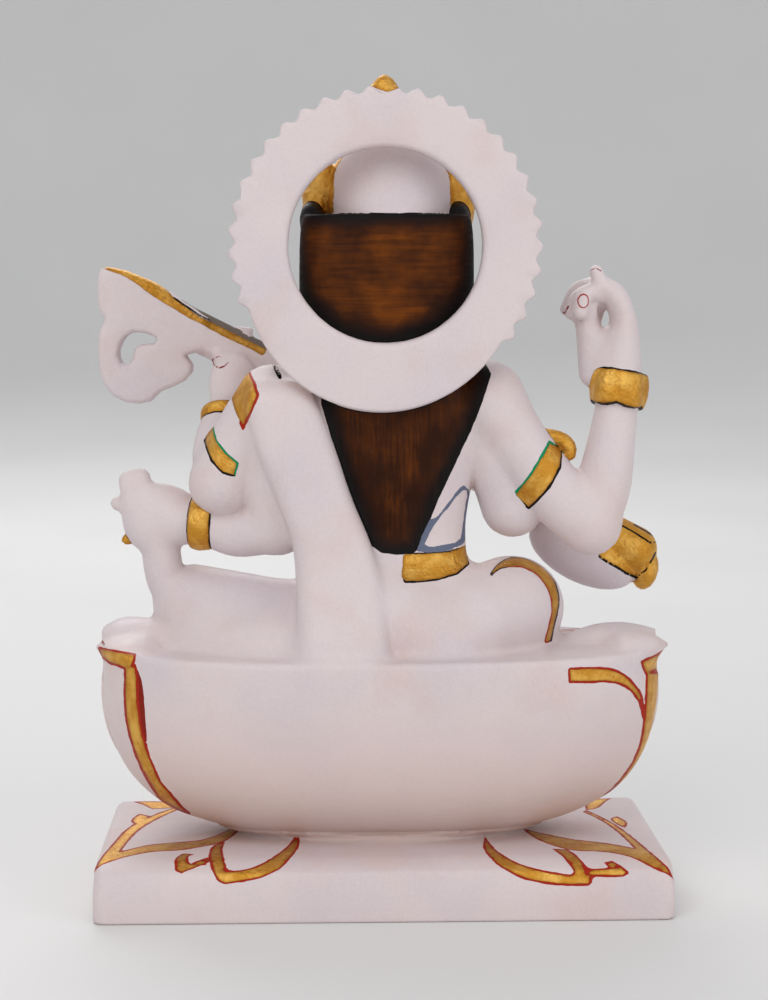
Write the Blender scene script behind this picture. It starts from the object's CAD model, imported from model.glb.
"""The looks of a seated four-armed figure with a veena, carved from one block of marble and painted.

Shapes are drawn in millimetres in the frame of the part, and become metres when the mesh is made.
What is carved above the seat is drawn with its heights from the seat.
"""
import math
from collections import namedtuple

import bpy
import numpy as np
import openvdb
from mathutils import Matrix, Vector


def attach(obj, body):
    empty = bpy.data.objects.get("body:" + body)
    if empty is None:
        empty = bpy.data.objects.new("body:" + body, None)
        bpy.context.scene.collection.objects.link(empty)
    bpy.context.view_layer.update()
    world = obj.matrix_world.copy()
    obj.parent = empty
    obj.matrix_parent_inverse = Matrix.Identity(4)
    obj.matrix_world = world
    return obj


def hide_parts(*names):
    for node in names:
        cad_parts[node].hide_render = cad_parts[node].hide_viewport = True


# Sizes shared with the part, in millimetres.
PLINTH = (212.0, 108.0, 21.0)
LOTUS = (211.0, 98.0, 73.0)
SEAT_Z = PLINTH[2] + LOTUS[2]
BOWL_FULLNESS, BOWL_TUCK, BOWL_SQUARENESS = 3.2, 1.6, 2.4
RING_CENTRE = (-1.0, 150.4)
RING_BACK, RING_THICKNESS = 31.0, 10.0
RING_INNER, RING_VALLEY, RING_TOOTH, RING_FOOT = 35.4, 54.9, 2.5, 60.5
RING_TEETH, RING_TEETH_FROM, RING_TEETH_TO = 28, -25.0, 220.0
VEENA_SLOPE, VEENA_Y, VEENA_NECK = 0.5, -33.0, 7.3
VEENA_LEAN = math.degrees(math.atan(VEENA_SLOPE))

# The camera's place in millimetres, its turn to the right and down in degrees, and its lens.
CAMERA_AT = (26.4, 846.2, 233.1)
CAMERA_YAW, CAMERA_PITCH = 1.874, 5.69
CAMERA_LENS = 80.64

# The block of clay that everything is shaped in: its lowest and highest corner and the size of a cell.
LOW = np.array([-116.0, -58.0, -4.0])
HIGH = np.array([116.0, 58.0, 310.0])
CELL = 0.8
FAR = 30.0

# A corner of an outline that turns by more than this, in radians, stays sharp.
SHARP_TURN = 0.95

# The finished mesh: how many triangles it starts from, and how its edges are split, in millimetres.
BASE_TRIANGLES = 32000
LONGEST_EDGE = 6.5
FINEST_EDGE = 1.35
FINEST_OUT_OF_VIEW = FINEST_EDGE * 1.6
SPLIT_ROUNDS = 6

# The kinds of paint, and those with a line round them.
PAINTS = ("gold", "hair", "dark", "rouge", "line")
TRIMMED = ("gold", "line")

# A form has a box round it and the distance to its surface. A plain bangle is painted along a length.
Shape = namedtuple("Shape", "low high distance")
Wrist = namedtuple("Wrist", "at direction radius length bulge painted")


def smooth_min(a, b, blend):
    """The union of two distances, with a fillet as wide as blend."""
    if blend == 0:
        return np.minimum(a, b)
    share = np.maximum(blend - np.abs(a - b), 0) / blend
    return np.minimum(a, b) - share * share * (blend / 4)


def smooth_max(a, b, blend):
    """What two distances share, with its edge rounded as wide as blend."""
    return -smooth_min(-a, -b, blend)


def along(direction, x, y, z):
    return x * direction[0] + y * direction[1] + z * direction[2]


def through(stations, spans, closed=False):
    """Points of a smooth curve through rows of numbers."""
    rows = np.array(stations, float)
    if closed:
        ends = np.vstack([rows[-1:], rows, rows[:2]])
        count = len(rows)
    else:
        ends = np.vstack([2 * rows[:1] - rows[1:2], rows, 2 * rows[-1:] - rows[-2:-1]])
        count = len(rows) - 1
    points = []
    for i in range(count):
        a, b, c, d = ends[i:i + 4]
        for t in np.arange(spans) / spans:
            points.append(0.5 * (2 * b + (c - a) * t + (2 * a - 5 * b + 4 * c - d) * t ** 2
                                 + (3 * b - 3 * c + d - a) * t ** 3))
    if not closed:
        points.append(rows[-1])
    return np.array(points)


def turned(angles):
    """The matrix that turns by degrees about X, Y and Z in that order."""
    x, y, z = (Matrix.Rotation(math.radians(a), 3, axis) for a, axis in zip(angles, "XYZ"))
    return np.array(z @ y @ x)


def limb(*stations, side=(0, 1, 0), spans=5):
    """A rounded limb through stations x, y, z, radius and, if it isn't round, its flatness along side."""
    rows = through([tuple(s) + (1.0,) * (5 - len(s)) for s in stations], spans)
    side = np.array(side, float) / np.linalg.norm(side)
    reach = (rows[:, 3] * np.maximum(rows[:, 4], 1))[:, None]
    flat = np.abs(rows[:, 4] - 1).max() > 0.01

    def distance(x, y, z):
        best = None
        for a, b in zip(rows[:-1], rows[1:]):
            step = b - a
            span = step[:3] @ step[:3]
            t = np.clip(along(step, x - a[0], y - a[1], z - a[2]) / span, 0, 1)
            dx, dy, dz = x - a[0] - t * step[0], y - a[1] - t * step[1], z - a[2] - t * step[2]
            if flat:
                squeeze = along(side, dx, dy, dz) * (1 / (a[4] + t * step[4]) - 1)
                dx, dy, dz = dx + squeeze * side[0], dy + squeeze * side[1], dz + squeeze * side[2]
            found = np.sqrt(dx * dx + dy * dy + dz * dz) - (a[3] + t * step[3])
            best = found if best is None else np.minimum(best, found)
        return best

    return Shape((rows[:, :3] - reach).min(0), (rows[:, :3] + reach).max(0), distance)


def ball(centre, radii, turn=(0, 0, 0)):
    """An ellipsoid, turned by degrees about X, Y and Z."""
    centre, radii = np.array(centre, float), np.array(radii, float)
    rows = turned(turn).T
    reach = np.sqrt(((rows.T * radii) ** 2).sum(1))

    def distance(x, y, z):
        dx, dy, dz = x - centre[0], y - centre[1], z - centre[2]
        near = far = 0
        for row, radius in zip(rows, radii):
            q = along(row, dx, dy, dz) / radius
            near = near + q * q
            far = far + (q / radius) ** 2
        near = np.sqrt(near)
        return near * (near - 1) / (np.sqrt(far) + 1e-6)

    return Shape(centre - reach, centre + reach, distance)


def column(*stations, power=2.0, rounding=3.0):
    """A level body through stations z, x, y, half width, half depth, as superellipses."""
    rows = through(sorted(stations), 6)
    levels = rows[:, 0]
    low = np.array([(rows[:, 1] - rows[:, 3]).min(), (rows[:, 2] - rows[:, 4]).min(), levels[0]])
    high = np.array([(rows[:, 1] + rows[:, 3]).max(), (rows[:, 2] + rows[:, 4]).max(), levels[-1]])

    def distance(x, y, z):
        dx = x - np.interp(z, levels, rows[:, 1])
        dy = y - np.interp(z, levels, rows[:, 2])
        share = (np.abs(dx / np.interp(z, levels, rows[:, 3])) ** power
                 + np.abs(dy / np.interp(z, levels, rows[:, 4])) ** power) ** (1 / power)
        sides = np.sqrt(dx * dx + dy * dy) * (1 - 1 / np.maximum(share, 1e-3))
        return smooth_max(sides, np.maximum(levels[0] - z, z - levels[-1]), rounding)

    return Shape(low, high, distance)


def outline_distance(u, v, points):
    """The distance in a plane to a closed outline, below zero inside."""
    best, inside = np.inf, False
    for (au, av), (bu, bv) in zip(points, np.roll(points, -1, 0)):
        eu, ev = bu - au, bv - av
        wu, wv = u - au, v - av
        t = np.clip((wu * eu + wv * ev) / (eu * eu + ev * ev + 1e-9), 0, 1)
        best = np.minimum(best, (wu - t * eu) ** 2 + (wv - t * ev) ** 2)
        if ev != 0:
            inside = inside ^ (((av > v) != (bv > v)) & (u < eu * (v - av) / ev + au))
    return np.where(inside, -1, 1) * np.sqrt(best)


def ribbon(one_side, other_side):
    """The closed outline of a band between two curved sides."""
    return np.vstack([through(one_side, 3), through(other_side, 3)])


def soften(points):
    """Rounds the gentle corners of a closed outline twice, and keeps its sharp ones."""
    points = np.array(points, float)
    for _ in range(2):
        made = []
        for before, at, after in zip(np.roll(points, 1, 0), points, np.roll(points, -1, 0)):
            a, b = at - before, after - at
            turn = math.atan2(a[0] * b[1] - a[1] * b[0], a @ b)
            made += [at] if abs(turn) > SHARP_TURN else [at - a / 4, at + b / 4]
        points = np.array(made)
    return points


def seen(x, y, z):
    """Where a place shows on the upright plane through the middle, seen from the camera."""
    share = CAMERA_AT[1] / (CAMERA_AT[1] - y)
    return CAMERA_AT[0] + (x - CAMERA_AT[0]) * share, CAMERA_AT[2] + (z - CAMERA_AT[2]) * share


def rounded(flat, depth, rounding):
    """A plane distance and a distance in depth as one body with rounded edges."""
    a, b = flat + rounding, depth + rounding
    return np.hypot(np.maximum(a, 0), np.maximum(b, 0)) + np.minimum(np.maximum(a, b), 0) - rounding


def slab(outline, hole, back, thickness, rounding):
    """A plate with an outline and a hole in X and Z, from its back towards -Y."""
    outline = np.array(outline, float)
    middle = back - thickness / 2

    def distance(x, y, z):
        flat = np.maximum(outline_distance(x, z, outline), -outline_distance(x, z, hole))
        return rounded(flat, np.abs(y - middle) - thickness / 2, rounding)

    low, high = outline.min(0), outline.max(0)
    return Shape((low[0], back - thickness, low[1]), (high[0], back, high[1]), distance)


def box(centre, halves, rounding, turn=(0, 0, 0)):
    """A block with rounded edges, turned by degrees about X, Y and Z."""
    centre, halves = np.array(centre, float), np.array(halves, float)
    rows = turned(turn).T
    reach = (np.abs(rows.T) * halves).sum(1)

    def distance(x, y, z):
        dx, dy, dz = x - centre[0], y - centre[1], z - centre[2]
        outside, deepest = 0, -FAR
        for row, half in zip(rows, halves):
            q = np.abs(along(row, dx, dy, dz)) - half + rounding
            outside = outside + np.maximum(q, 0) ** 2
            deepest = np.maximum(deepest, q)
        return np.sqrt(outside) + np.minimum(deepest, 0) - rounding

    return Shape(centre - reach, centre + reach, distance)


def bangle(wrist):
    """A bulged band round a wrist."""
    at = np.array(wrist.at, float)
    direction = np.array(wrist.direction, float) / np.linalg.norm(wrist.direction)
    reach = wrist.radius + wrist.length

    def distance(x, y, z):
        dx, dy, dz = x - at[0], y - at[1], z - at[2]
        t = along(direction, dx, dy, dz)
        out = np.sqrt(np.maximum(dx * dx + dy * dy + dz * dz - t * t, 0))
        swell = wrist.bulge * (1 - np.clip(2 * t / wrist.length, -1, 1) ** 2)
        return rounded(out - wrist.radius - swell, np.abs(t) - wrist.length / 2, 0.7)

    return Shape(at - reach, at + reach, distance)


# The right wrist's bangle leans with the arm: its middle, and its lean across and deep.
RIGHT_WRIST_AT = (-89.6, 6, 97.4)
RIGHT_WRIST_LEAN = (0.15, 0.1)


def lobed_length(x, y, z):
    """How far past the ends of the right wrist's bangle a place is. Its lower edge runs in lobes."""
    dx, dy = x - RIGHT_WRIST_AT[0], y - RIGHT_WRIST_AT[1]
    t = (z - RIGHT_WRIST_AT[2]) * 0.984 - dx * RIGHT_WRIST_LEAN[0] - dy * RIGHT_WRIST_LEAN[1]
    lobe = np.abs(np.sin(2.5 * np.arctan2(dy, dx) - 0.22)) ** 0.8
    return np.maximum(t - 6.4, -t - 6.0 - 1.2 * lobe), lobe


def lobed_bangle():
    def distance(x, y, z):
        past, lobe = lobed_length(x, y, z)
        middle = [RIGHT_WRIST_AT[i] - RIGHT_WRIST_LEAN[i] * (z - 97) for i in range(2)]
        out = np.hypot(x - middle[0], y - middle[1]) - 9.9 - 1.6 * lobe * np.clip(-past / 5, 0, 1) ** 0.6
        return rounded(out, past, 0.7)

    return Shape((-103, -8, 88), (-76, 20, 106), distance)


class Clay:
    """Part of the grid of cells, with the distance from each cell to the nearest surface."""

    def __init__(self, low, high, lift=0.0, reach=3.0):
        shift = np.array([0, 0, lift])
        last = np.floor((HIGH - LOW) / CELL).astype(int)
        self.first = np.clip(np.floor((low + shift - LOW) / CELL).astype(int), 0, last)
        stop = np.clip(np.ceil((high + shift - LOW) / CELL).astype(int) + 1, 0, last + 1)
        self.axes = [(LOW[i] + CELL * np.arange(self.first[i], stop[i]) - shift[i]).astype(np.float32)
                     for i in range(3)]
        self.field = np.full([len(a) for a in self.axes], FAR, np.float32)
        self.reach = reach

    def window(self, shape, blend):
        """The cells round a shape, and their places as three open arrays."""
        margin = max(blend, self.reach) + 2 * CELL
        cut = tuple(slice(*np.searchsorted(axis, (low - margin, high + margin)))
                    for axis, low, high in zip(self.axes, shape.low, shape.high))
        x, y, z = (axis[part] for axis, part in zip(self.axes, cut))
        return cut, x[:, None, None], y[None, :, None], z[None, None, :]

    def join(self, shape, blend=0.0):
        cut, x, y, z = self.window(shape, blend)
        self.field[cut] = smooth_min(self.field[cut], shape.distance(x, y, z).astype(np.float32), blend)

    def carve(self, shape, blend=0.0):
        cut, x, y, z = self.window(shape, blend)
        self.field[cut] = smooth_max(self.field[cut], -shape.distance(x, y, z).astype(np.float32), blend)

    def raise_by(self, low, high, height):
        """Lifts the surface inside a box by what height(x, y, z) gives."""
        cut, x, y, z = self.window(Shape(low, high, None), 0)
        self.field[cut] -= height(x, y, z).astype(np.float32)

    def join_clay(self, other, blend=0.0):
        start = other.first - self.first
        cut = tuple(slice(a, a + n) for a, n in zip(start, other.field.shape))
        self.field[cut] = smooth_min(self.field[cut], other.field, blend)


# The seat and the plinth.

# The radius of the plinth's corners.
PLINTH_CORNER = 4.0


def plinth_distance(x, y, z):
    """A block with rounded corners and a softly rounded top edge."""
    q = [np.abs(x) - PLINTH[0] / 2 + PLINTH_CORNER, np.abs(y) - PLINTH[1] / 2 + PLINTH_CORNER,
         z - PLINTH[2] + PLINTH_CORNER]
    outside = np.sqrt(sum(np.maximum(a, 0) ** 2 for a in q))
    block = outside + np.minimum(np.maximum(np.maximum(q[0], q[1]), q[2]), 0) - PLINTH_CORNER
    block = smooth_max(block, (y - PLINTH[1] / 2 + z - PLINTH[2]) * 0.707 + 2.6, 9)
    return smooth_max(block, -z, 1.2)


def bowl_halves(z):
    """Half the bowl's width and depth at a height."""
    down = 1 - np.clip(z - PLINTH[2], LOTUS[2] * 0.01, LOTUS[2]) / LOTUS[2]
    share = (1 - down ** BOWL_FULLNESS) ** (1 / BOWL_FULLNESS)
    return share * LOTUS[0] / 2, share ** BOWL_TUCK * LOTUS[1] / 2


def bowl_angle(x, y, z):
    """The place round the bowl in degrees, 0 at +X and 270 at the front."""
    a, b = bowl_halves(z)
    u, v = x / a, y / b
    half = BOWL_SQUARENESS / 2
    return np.degrees(np.arctan2(np.sign(v) * np.abs(v) ** half, np.sign(u) * np.abs(u) ** half)) % 360


def bowl_distance(x, y, z):
    """The bowl under the petals, cut off level at its rim."""
    a, b = bowl_halves(z)
    share = (np.abs(x / a) ** BOWL_SQUARENESS + np.abs(y / b) ** BOWL_SQUARENESS) ** (1 / BOWL_SQUARENESS)
    out = np.sqrt(x * x + y * y) * (1 - 1 / np.maximum(share, 1e-3))
    slant = 1 / np.sqrt(1 + (30 / np.maximum(z - PLINTH[2] + 6, 6)) ** 2)
    sides = out * np.clip(slant * 1.3, 0.3, 1)
    return smooth_max(sides, np.maximum(z - SEAT_Z, PLINTH[2] - 2 - z), 3.0)


def petal_edge(x, y, z, centre, half_angle, top=1.0):
    """How far inside a petal's edge a place on the bowl is, in millimetres."""
    level = np.clip((z - PLINTH[2]) / LOTUS[2] / top, 0.001, 1.0)
    swell = np.maximum(np.sin(np.pi * level ** 1.4), 0) ** 0.7
    a, b = bowl_halves(z)
    away = np.abs((bowl_angle(x, y, z) - centre + 180) % 360 - 180)
    return (half_angle * swell - away) * (a + b) * np.pi / 360


# Where the petals stand round the bowl, in degrees, and half the angle that one spans.
FRONT_PETALS = [198.0, 234.0, 270.0, 306.0, 342.0]
REAR_PETALS = [216.0, 252.0, 288.0, 324.0]
FRONT_HALF_ANGLE, REAR_HALF_ANGLE = 17.5, 15
REAR_TOP = 1.03


def petal_relief(x, y, z):
    """The row of petals along the front, and the tips of a second row between them."""
    lift = 0
    for centre in REAR_PETALS:
        edge = petal_edge(x, y, z, centre, REAR_HALF_ANGLE, REAR_TOP)
        lift = np.maximum(lift, 0.9 * np.clip(edge / 1.2 + 0.5, 0, 1))
    for centre in FRONT_PETALS:
        edge = petal_edge(x, y, z, centre, FRONT_HALF_ANGLE)
        rim = np.exp(-((edge - 1.6) / 1.3) ** 2)
        ridge = np.exp(-((edge - 26) / 7) ** 2)
        lift = np.maximum(lift, (1.6 + 0.5 * rim + 0.6 * ridge) * np.clip(edge / 1.2 + 0.5, 0, 1))
    return lift * (y < 0) * np.clip((SEAT_Z + 1 - z) / 3, 0, 1)


# Bands on the back of the bowl, as the camera sees them on the plane through the middle.
LEFT_BAND = ribbon(
    [(97.4, 85.6), (97.7, 76.5), (97.5, 67.2), (95.7, 57.3), (91.7, 45.9), (85.2, 34.5), (78.7, 30.0),
     (73.5, 28.1)],
    [(77.1, 31.1), (81.0, 36.2), (84.5, 40.5), (87.1, 46.5), (89.0, 51.2), (90.5, 56.6), (91.5, 60.6),
     (92.4, 67.2), (92.8, 72.5), (93.0, 79.2), (93.5, 85.6)])
LEFT_STRIP = ribbon(
    [(93.5, 85.1), (92.8, 76.5), (92.4, 67.2), (91.5, 60.6), (90.5, 56.6), (89.1, 52.5)],
    [(89.5, 57.9), (90.0, 65.9), (90.4, 72.5), (91.1, 79.1), (92.6, 83.8)])
LEFT_TIP_BAND = np.array([
    (107.4, 92.6), (102.9, 91.7), (97.7, 90.6), (93.6, 90.0), (94.1, 87.1), (95.2, 84.2), (97.8, 84.7),
    (101.0, 85.8), (103.6, 86.9), (106.5, 89.2)])
LEFT_LOBE_EDGE = [(107.6, 98.6), (106.5, 95.8), (105.2, 93.5)]
RIGHT_BAND = np.vstack([
    [(-118.0, 81.8), (-118.0, 20.0), (-73.0, 20.0)],
    through([(-72.0, 25.0), (-79.0, 28.0), (-85.5, 32.6), (-92.3, 39.6), (-97.6, 47.4), (-100.4, 55.0),
             (-101.6, 63.0), (-102.2, 71.4), (-102.4, 81.8)], 3)])
RIGHT_TOP_BAND = ribbon(
    [(-72.3, 83.5), (-81.2, 83.7), (-88.1, 83.3), (-93.7, 80.9), (-97.8, 76.7), (-100.4, 72.5),
     (-101.3, 64.1)],
    [(-99.6, 70.4), (-96.5, 74.6), (-92.3, 77.3), (-86.8, 78.4), (-81.3, 78.2), (-72.5, 78.2)])
RIGHT_TIP_BAND = np.array([
    (-110.2, 91.0), (-104.6, 88.0), (-100.2, 86.0), (-101.3, 82.9), (-102.2, 81.1), (-106.0, 82.9),
    (-109.4, 86.1)])


def side_petal_relief(x, y, z):
    """The last petal at each end laps over the plain back and ends in a raised edge."""
    u, v = seen(x, y, z)
    edge = np.minimum(outline_distance(u, v, LEFT_BAND), outline_distance(u, v, RIGHT_BAND))
    return 0.7 * np.clip(0.8 - edge / 1.2, 0, 1) * (y > -12) * (z > 30)


# The pointed ends of the rim, and the curled lobe beside each.
RIM_TIPS = [(1, 107.2), (-1, -109.2)]
RIM_LOBES = [
    [(70, -2, 90, 4, 2.4), (84, -4, 95.4, 5.4, 2.4), (92, -6, 97.4, 5.6, 2.4), (98, -7, 97.8, 5.2, 2.4),
     (103.6, -8, 97.2, 3.3, 3)],
    [(-66, -2, 90, 4, 2.4), (-82, -5, 94.4, 4.8, 2.4), (-92, -7, 95.5, 4.7, 2.4), (-100, -8, 96, 3.2, 2.6),
     (-106.4, -8, 96.9, 0.7, 3)]]


def seat():
    clay = Clay(LOW, (116, 58, 112))
    clay.join(Shape((-106, -54, 0), (106, 54, 21), plinth_distance))
    bowl = Clay((-112, -56, 16), (112, 56, 100))
    bowl.join(Shape((-108, -50, 19), (108, 50, 94), bowl_distance))
    bowl.raise_by((-112, -54, 24), (112, 2, 96), petal_relief)
    bowl.raise_by((-112, -14, 26), (112, 52, 92), side_petal_relief)
    clay.join_clay(bowl, 10)
    for side, tip in RIM_TIPS:
        clay.join(limb((tip - side * 17, 6, 92.5, 6.5, 2.6), (tip - side * 8, 5, 93.5, 4.4, 3.6),
                       (tip, 2, 93.2, 0.9, 3), spans=6), 3.5)
    for lobe in RIM_LOBES:
        clay.join(limb(*lobe), 2)
    for centre in FRONT_PETALS[1:4] + REAR_PETALS[1:3]:
        clay.join(petal_tip(math.radians(centre)), 2.5)
    return clay


def petal_tip(angle):
    """The point of a petal, which bends out over the bowl's rim."""
    x, y = math.cos(angle) * 92, math.sin(angle) * 44.5
    return limb((x * 0.92, y * 0.92, 92.5, 3.5, 1.6), (x, y, 94.6, 2.2, 2.4),
                (x * 1.05, y * 1.05, 96.5, 0.8, 1.5), side=(-y, x, 0))


# The figure, with heights from the seat.

# The trunk's stations: height, middle across and deep, half width and half depth.
TRUNK = [
    (-3, -8, 4, 46, 26), (10, -8, 5, 46, 26), (20, -7, 5, 39, 23), (30, -5, 5, 29.2, 19),
    (42, -5, 4, 27, 16.5), (54, -4, 4, 29, 17), (68, -3, 4, 33, 18), (82, -2, 5, 38, 18),
    (92, -1, 6, 41, 16), (101, -1, 7, 33, 13.5), (107, -1, 6, 16, 11)]
CHEST = column(*TRUNK[5:8])
WAIST = column((20, -7, 5, 40, 23), (30, -6, 5, 31, 19), (42, -5, 4, 27.5, 16.5), (54, -4, 4, 29, 17))


def trunk(clay):
    clay.join(column(*TRUNK, rounding=6))
    for x in (-16.5, 12.5):
        clay.join(ball((x, -12.5, 75), (11.8, 9.6, 11.4)), 5)
    clay.join(limb((-1, 6, 98, 11), (-1, 2, 112, 10), (-1, 0, 120, 10)), 6)


def lap(clay):
    clay.join(limb((-34, 16, 10, 18), (-49.4, -2, 12.6, 20.2), (-54, -24, 11, 15.6)), 7)
    clay.join(limb((-52, -30, 8, 9.5), (-22, -37, 7, 9), (8, -38, 6, 7.5)), 4)
    clay.join(limb((12, 10, 12, 15), (36, 5, 11.4, 13.8), (55, -1, 12.8, 14.6), (72, -8, 14.4, 15)), 7)
    clay.join(limb((28, 22, -2, 17), (46, 16, -2, 16), (66, 6, -3, 14)), 9)
    clay.join(limb((-18, 20, 0, 19), (-8, 22, 12, 14), (2, 22, 21, 8)), 9)
    clay.join(limb((70, -16, 9, 10.5), (40, -29, 8, 9.5), (14, -32, 7, 9)), 4)
    clay.join(ball((4, -18, 4), (52, 25, 9.5)), 5)
    foot(clay)


# How far the toes reach across, and their radius, from the big toe on.
TOES = [(35.5, 2.3), (35.0, 1.7), (34.0, 1.6), (32.8, 1.5), (31.2, 1.4)]


def foot(clay):
    clay.join(limb((8, -38, 5.5, 6.4), (20, -38.5, 5, 5.2, 1.2), (29, -37.5, 4.2, 3.4, 1.7)), 2)
    for i, (reach, radius) in enumerate(TOES):
        y = -43.2 + 2.9 * i
        clay.join(limb((28, y, 4.6, radius + 0.2), (reach - 1.5, y, 3.6, radius),
                       (reach, y, 3.4, radius * 0.9)), 0.7)


# The cloth slab's stations, as the trunk's.
CLOTH = [
    (101, 39, 15, 10, 7), (99, 38, 16, 11, 8), (92, 37, 18, 13.5, 9), (76, 32, 19, 14.5, 9.5),
    (58, 25.5, 20, 14, 10), (41, 19, 22, 14.5, 11), (23, 15.5, 26, 16.5, 12), (8, 15, 31, 17, 13.5),
    (-1, 15, 32, 17.5, 14)]


def cloth_down_the_back(clay):
    clay.join(column(*CLOTH, power=3.4, rounding=4), 4)


# The middle of the face, and of the crown.
HEAD_X = -1
CROWN_X, CROWN_Y = -4, -2
CROWN_BEADS = 17


def head():
    clay = Clay((-44, -40, 92), (44, 32, 202), SEAT_Z, 4)
    clay.join(ball((HEAD_X, -3, 138), (19.3, 20.6, 25)))
    clay.join(ball((HEAD_X, -12.5, 122.5), (10.5, 9.5, 8.5)), 9)
    for side in (-1, 1):
        half_face(clay, side)
    nose_and_mouth(clay)
    clay.join(hair_roll(), 0.6)
    for side in (-1, 1):
        clay.join(hair_lock(side), 1)
        clay.join(hair_corner(side), 0.8)
    crown(clay)
    return clay


def half_face(clay, side):
    """A cheek, an eye with its brow, a nostril and an ear with three beads."""
    def at(x, *rest):
        return (HEAD_X + side * x, *rest)

    clay.join(ball(at(9.5, -14.5, 128.5), (6.2, 6.0, 7)), 5)
    clay.carve(ball(at(7.6, -24.6, 138.2), (5.6, 3.2, 3.4)), 3)
    clay.join(ball(at(7.6, -18.9, 137.6), (4.6, 3.0, 2.9)), 0.8)
    clay.join(limb(at(12.8, -18.0, 138.0, 0.7), at(9.6, -21.2, 139.9, 0.8), at(6.2, -21.9, 139.9, 0.8),
                   at(2.9, -20.6, 137.4, 0.6)), 0.7)
    clay.join(limb(at(12.0, -18.6, 136.9, 0.5), at(7.6, -21.2, 135.2, 0.6), at(3.4, -20.6, 136.6, 0.5)), 0.7)
    clay.join(limb(at(13.4, -17.4, 143.0, 0.8), at(8.0, -21.2, 144.8, 1.0), at(2.6, -22.4, 143.2, 0.9)), 2.6)
    clay.join(ball(at(2.5, -24.2, 130.6), (1.7, 1.9, 1.5)), 1.2)
    clay.join(ball(at(19.6, -2, 136), (2.4, 4.6, 7.5)), 1.5)
    for z, width, height in ((126.8, 2.6, 2.6), (122.2, 3.4, 3.2), (118.2, 1.6, 2.2)):
        clay.join(ball(at(20.6, -4, z), (width, width, height)), 0.6)


def nose_and_mouth(clay):
    clay.join(limb((HEAD_X, -21.2, 143.5, 1.5), (HEAD_X, -23.9, 137, 1.7), (HEAD_X, -26.3, 131.9, 2.1)), 2.2)
    clay.join(ball((HEAD_X, -26.0, 131.3), (2.3, 2.3, 1.9)), 1.4)
    clay.join(limb((-6.6, -19.9, 125.9, 0.7), (-3.2, -22.2, 126.7, 1.15), (HEAD_X, -22.6, 126.4, 1.2),
                   (1.2, -22.2, 126.7, 1.15), (4.6, -19.9, 125.9, 0.7)), 0.9)
    clay.join(limb((-5.4, -20.2, 125.3, 0.7), (HEAD_X, -22.3, 124.0, 1.5), (3.4, -20.2, 125.3, 0.7)), 0.9)
    clay.join(ball((HEAD_X, -19.2, 118.2), (4.4, 3.4, 3.6)), 4)


def hair_roll():
    return column(
        (101, -2, 12, 14, 9), (103, -2, 12, 20, 10), (110, -2, 9, 26, 12), (118, -2, 8, 31, 12.5),
        (130, -2, 8, 32.4, 12.5), (150, -2, 8, 32.4, 12.5), (158, -2, 8, 31.8, 12.5), (162, -2, 8, 31, 12.2),
        power=2.8, rounding=1.6)


def hair_lock(side):
    """The hair parts over the brow and is swept back over the ear."""
    return limb(*[(HEAD_X + side * x, y, z, radius) for x, y, z, radius in (
        (1.0, -16.5, 157, 3.6), (9, -16.6, 154.5, 3.8), (16.2, -11.0, 148.5, 4.2), (20, -4.6, 140.5, 4))])


def hair_corner(side):
    """The hair rises at each side, beneath the crown's ornament."""
    return ball((-1.5 + side * 27, 4.5, 159.6), (4.8, 7.5, 7.2), (0, side * 6, 0))


def crown_cap():
    return column(
        (150, -4, -2, 23.4, 21), (153, -4, -2, 23.8, 21), (166, -4, -2, 24.4, 21.5), (176, -4, -2, 23, 19.5),
        (184, -3, -2, 18, 16), (190, -2, -2, 11, 10), (195, -2, -2, 3, 3), rounding=1.5)


def crown(clay):
    """A tall cap with a band of beads, a leaf in front and one at each side."""
    clay.join(crown_cap(), 0.6)
    leaves = Clay((-44, -40, 142), (44, 14, 202), SEAT_Z, 2)
    leaves.join(ball((-3, -21, 170), (10.5, 4.2, 19), (-10, 0, 0)), 0.6)
    for side in (-1, 1):
        leaves.join(ball((-3 + side * 15.5, -15.5, 167), (6.6, 4.6, 13), (-6, side * 10, side * 38)), 0.6)
        leaves.join(ball((-3 + side * 26, -3, 170), (5.6, 7, 12.5), (0, side * -18, 0)), 0.6)
        leaves.join(ball((-3 + side * 28, 0, 163.5), (4.2, 5.2, 6)), 1.2)
        leaves.join(ball((-3 + side * 24.5, -1, 178), (3.4, 4.6, 6)), 1.2)
    leaves.join(ball((-3, -25.2, 166.5), (4.0, 2.6, 5.2)), 0.5)
    leaves.join(ball((-3, -24.4, 176.5), (2.6, 2.2, 3.6)), 0.5)
    leaves.join(ball((-3, -12, 191.5), (4.2, 4.2, 6.5)), 1.0)

    def veins(x, y, z):
        fan = np.sin(np.arctan2(x + 3, z - 148) * 34)
        rough = np.sin(x * 1.3 + 2 * np.sin(z * 0.7)) * np.sin(z * 1.1 + y) * np.sin(y * 1.2 + x * 0.5)
        return (0.3 * fan + 0.5 * rough) * (y < 5)

    leaves.raise_by((-40, -36, 154), (36, 12, 198), veins)
    clay.join_clay(leaves, 0.8)
    clay.join(ring_of(153.5, 25.0, 22.6, 1.5), 0.5)
    clay.join(ring_of(158.5, 25.4, 23.0, 1.0), 0.5)
    for i in range(CROWN_BEADS):
        place = round_crown(190 + 160 * i / (CROWN_BEADS - 1), 25.4, 23.2)
        clay.join(ball((*place, 156.1), (1.5, 1.5, 1.5)), 0.3)


def round_crown(degrees, across, deep):
    """A place on an oval round the crown's middle."""
    angle = math.radians(degrees)
    return CROWN_X + across * math.cos(angle), CROWN_Y + deep * math.sin(angle)


def ring_of(z, across, deep, radius):
    """A round moulding that runs round the front half of the crown."""
    places = [round_crown(degrees, across, deep) for degrees in np.linspace(176, 364, 15)]
    return limb(*[(*place, z, radius) for place in places], spans=2)


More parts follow.
